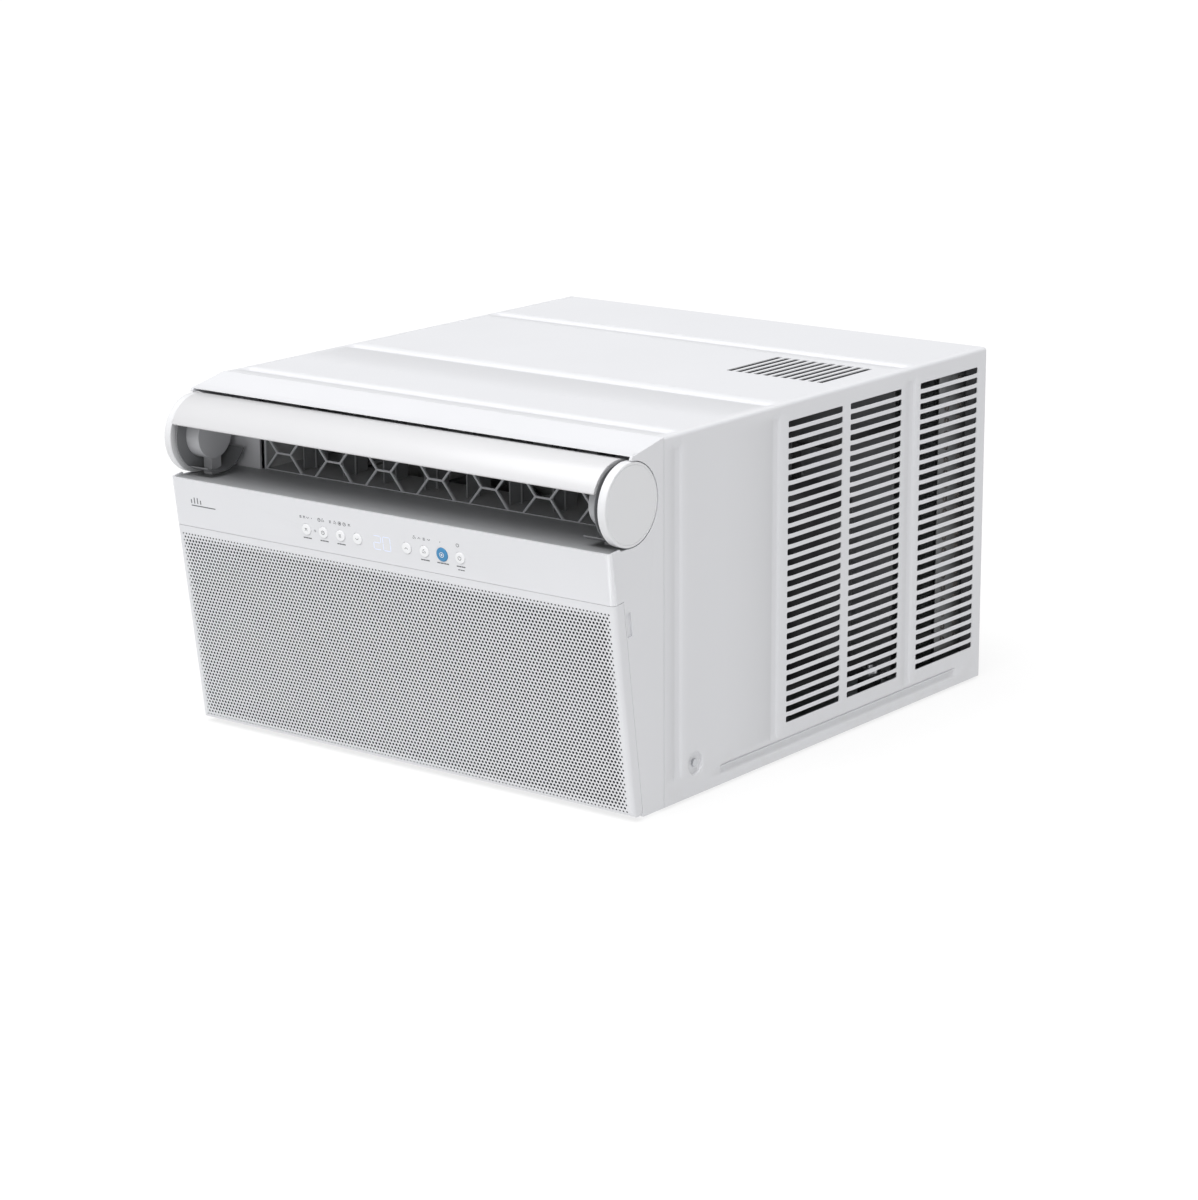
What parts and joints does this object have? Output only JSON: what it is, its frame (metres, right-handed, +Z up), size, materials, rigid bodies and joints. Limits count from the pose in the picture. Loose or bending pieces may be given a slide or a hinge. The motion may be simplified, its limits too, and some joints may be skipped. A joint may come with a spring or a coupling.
{
  "type": "window air conditioner",
  "caption": "Boxy window air conditioner with a louvred sheet-metal cabinet, a leaning perforated intake grille, a button strip and a rotating tube louvre along the top front.",
  "frame": {"origin": "middle of the bounding box's underside, on the plane the base pads stand on", "axes": "+Z up, -Y towards the room (the front with the louvre and the buttons), +X to the right seen from the front"},
  "size_m": [0.56, 0.6614, 0.363],
  "materials": {
    "cabinet_paint": "satin powder coat",
    "galvanised": "zinc coated",
    "rubber": "matt",
    "steel": "zinc plated",
    "guard_paint": "satin",
    "white_plastic": "fine matt texture",
    "blue_button": "satin",
    "board": "solder mask",
    "display": "glossy",
    "pale_plastic": "satin",
    "guard_plastic": "matt",
    "filter_mesh": "woven mesh",
    "dark_plastic": "matt",
    "foam": "moulded foam",
    "fins": "pressed fins",
    "black_paint": "semi-gloss",
    "copper": "bare copper",
    "brass": "bare"
  },
  "bodies": {
    "housing": {"cabinet": "cabinet_paint", "base_pan": "galvanised", "base_pads": "rubber", "cabinet_screws": "steel", "rear_guard": "guard_paint", "front_bezel": "white_plastic", "display_board": "board", "display_module": "display", "louver_hub_left": "pale_plastic", "louver_hub_right": "pale_plastic", "side_disc_left": "pale_plastic", "side_disc_right": "pale_plastic", "louver_motor": "steel", "outlet_guard": "guard_plastic", "outlet_duct": "dark_plastic", "vane_motor": "steel", "evaporator": "fins", "drain_tray": "dark_plastic", "blower_scroll": "foam", "bulkhead": "galvanised", "fan_motor": "steel", "motor_bracket": "galvanised", "fan_shroud": "dark_plastic", "condenser": "fins", "compressor": "black_paint", "accumulator": "black_paint", "compressor_grommets": "rubber", "compressor_studs": "steel", "suction_line": "copper", "discharge_line": "copper", "liquid_line": "copper", "feed_line": "copper", "expansion_valve": "brass", "control_box": "galvanised", "main_board": "board", "cord_gland": "rubber"},
    "grille": {"intake_grille": "white_plastic"},
    "filter": {"filter_frame": "guard_plastic", "filter_mesh": "filter_mesh"},
    "louver": {"louver_shell": "white_plastic"},
    "link": {"vane_link": "pale_plastic"},
    "rotor": {"blower_wheel": "dark_plastic", "fan_shaft": "steel", "condenser_fan": "dark_plastic"},
    "vane_1": {"vane_1": "dark_plastic"},
    "vane_2": {"vane_2": "dark_plastic"},
    "vane_3": {"vane_3": "dark_plastic"},
    "vane_4": {"vane_4": "dark_plastic"},
    "vane_5": {"vane_5": "dark_plastic"},
    "vane_6": {"vane_6": "dark_plastic"},
    "vane_7": {"vane_7": "dark_plastic"},
    "vane_8": {"vane_8": "dark_plastic"},
    "button_swing": {"button_swing": "white_plastic"},
    "button_timer": {"button_timer": "white_plastic"},
    "button_mode": {"button_mode": "white_plastic"},
    "button_down": {"button_down": "white_plastic"},
    "button_up": {"button_up": "white_plastic"},
    "button_fan": {"button_fan": "white_plastic"},
    "button_clean": {"button_clean": "blue_button"},
    "button_power": {"button_power": "white_plastic"}
  },
  "joints": [
    {"name": "grille_tilt", "type": "hinge", "parent": "housing", "child": "grille", "pos_m": [0, -0.28195, 0.01187], "axis": [1, 0, 0], "range_deg": [0, 75]},
    {"name": "filter_lift", "type": "slide", "parent": "grille", "child": "filter", "axis": [0, -0.1351, 0.9908], "range_m": [0, 0.121]},
    {"name": "louver_turn", "type": "hinge", "parent": "housing", "child": "louver", "pos_m": [0, -0.2903, 0.308], "axis": [1, 0, 0], "range_deg": [0, 74]},
    {"name": "vane_8_turn", "type": "hinge", "parent": "housing", "child": "vane_8", "pos_m": [0.189, -0.2053, 0.3], "axis": [0, 0, 1], "range_deg": [-30, 30]},
    {"name": "vane_1_turn", "type": "hinge", "parent": "housing", "child": "vane_1", "pos_m": [-0.189, -0.2053, 0.3], "axis": [0, 0, 1], "range_deg": [-30, 30]},
    {"name": "vane_2_turn", "type": "hinge", "parent": "housing", "child": "vane_2", "pos_m": [-0.135, -0.2053, 0.3], "axis": [0, 0, 1], "range_deg": [-30, 30]},
    {"name": "vane_3_turn", "type": "hinge", "parent": "housing", "child": "vane_3", "pos_m": [-0.081, -0.2053, 0.3], "axis": [0, 0, 1], "range_deg": [-30, 30]},
    {"name": "vane_4_turn", "type": "hinge", "parent": "housing", "child": "vane_4", "pos_m": [-0.027, -0.2053, 0.3], "axis": [0, 0, 1], "range_deg": [-30, 30]},
    {"name": "vane_5_turn", "type": "hinge", "parent": "housing", "child": "vane_5", "pos_m": [0.027, -0.2053, 0.3], "axis": [0, 0, 1], "range_deg": [-30, 30]},
    {"name": "vane_6_turn", "type": "hinge", "parent": "housing", "child": "vane_6", "pos_m": [0.081, -0.2053, 0.3], "axis": [0, 0, 1], "range_deg": [-30, 30]},
    {"name": "vane_7_turn", "type": "hinge", "parent": "housing", "child": "vane_7", "pos_m": [0.135, -0.2053, 0.3], "axis": [0, 0, 1], "range_deg": [-30, 30]},
    {"name": "link_slide", "type": "slide", "parent": "housing", "child": "link", "axis": [1, 0, 0], "range_m": [-0.0063, 0.0063]},
    {"name": "rotor_spin", "type": "hinge", "parent": "housing", "child": "rotor", "pos_m": [-0.04, 0, 0.165], "axis": [0, 1, 0], "continuous": true},
    {"name": "button_swing_press", "type": "slide", "parent": "housing", "child": "button_swing", "axis": [0, 0.9908, 0.1351], "range_m": [0, 0.0012], "stiffness_N_per_m": 800},
    {"name": "button_timer_press", "type": "slide", "parent": "housing", "child": "button_timer", "axis": [0, 0.9908, 0.1351], "range_m": [0, 0.0012], "stiffness_N_per_m": 800},
    {"name": "button_mode_press", "type": "slide", "parent": "housing", "child": "button_mode", "axis": [0, 0.9908, 0.1351], "range_m": [0, 0.0012], "stiffness_N_per_m": 800},
    {"name": "button_down_press", "type": "slide", "parent": "housing", "child": "button_down", "axis": [0, 0.9908, 0.1351], "range_m": [0, 0.0012], "stiffness_N_per_m": 800},
    {"name": "button_up_press", "type": "slide", "parent": "housing", "child": "button_up", "axis": [0, 0.9908, 0.1351], "range_m": [0, 0.0012], "stiffness_N_per_m": 800},
    {"name": "button_fan_press", "type": "slide", "parent": "housing", "child": "button_fan", "axis": [0, 0.9908, 0.1351], "range_m": [0, 0.0012], "stiffness_N_per_m": 800},
    {"name": "button_clean_press", "type": "slide", "parent": "housing", "child": "button_clean", "axis": [0, 0.9908, 0.1351], "range_m": [0, 0.0012], "stiffness_N_per_m": 800},
    {"name": "button_power_press", "type": "slide", "parent": "housing", "child": "button_power", "axis": [0, 0.9908, 0.1351], "range_m": [0, 0.0012], "stiffness_N_per_m": 800}
  ],
  "couplings": [
    {"joint": "filter_lift", "follows": "grille_tilt", "m_per_rad": 0.0916},
    {"joint": "vane_1_turn", "follows": "vane_8_turn", "ratio": 1},
    {"joint": "vane_2_turn", "follows": "vane_8_turn", "ratio": 1},
    {"joint": "vane_3_turn", "follows": "vane_8_turn", "ratio": 1},
    {"joint": "vane_4_turn", "follows": "vane_8_turn", "ratio": 1},
    {"joint": "vane_5_turn", "follows": "vane_8_turn", "ratio": 1},
    {"joint": "vane_6_turn", "follows": "vane_8_turn", "ratio": 1},
    {"joint": "vane_7_turn", "follows": "vane_8_turn", "ratio": 1},
    {"joint": "link_slide", "follows": "vane_8_turn", "m_per_rad": -0.012}
  ]
}
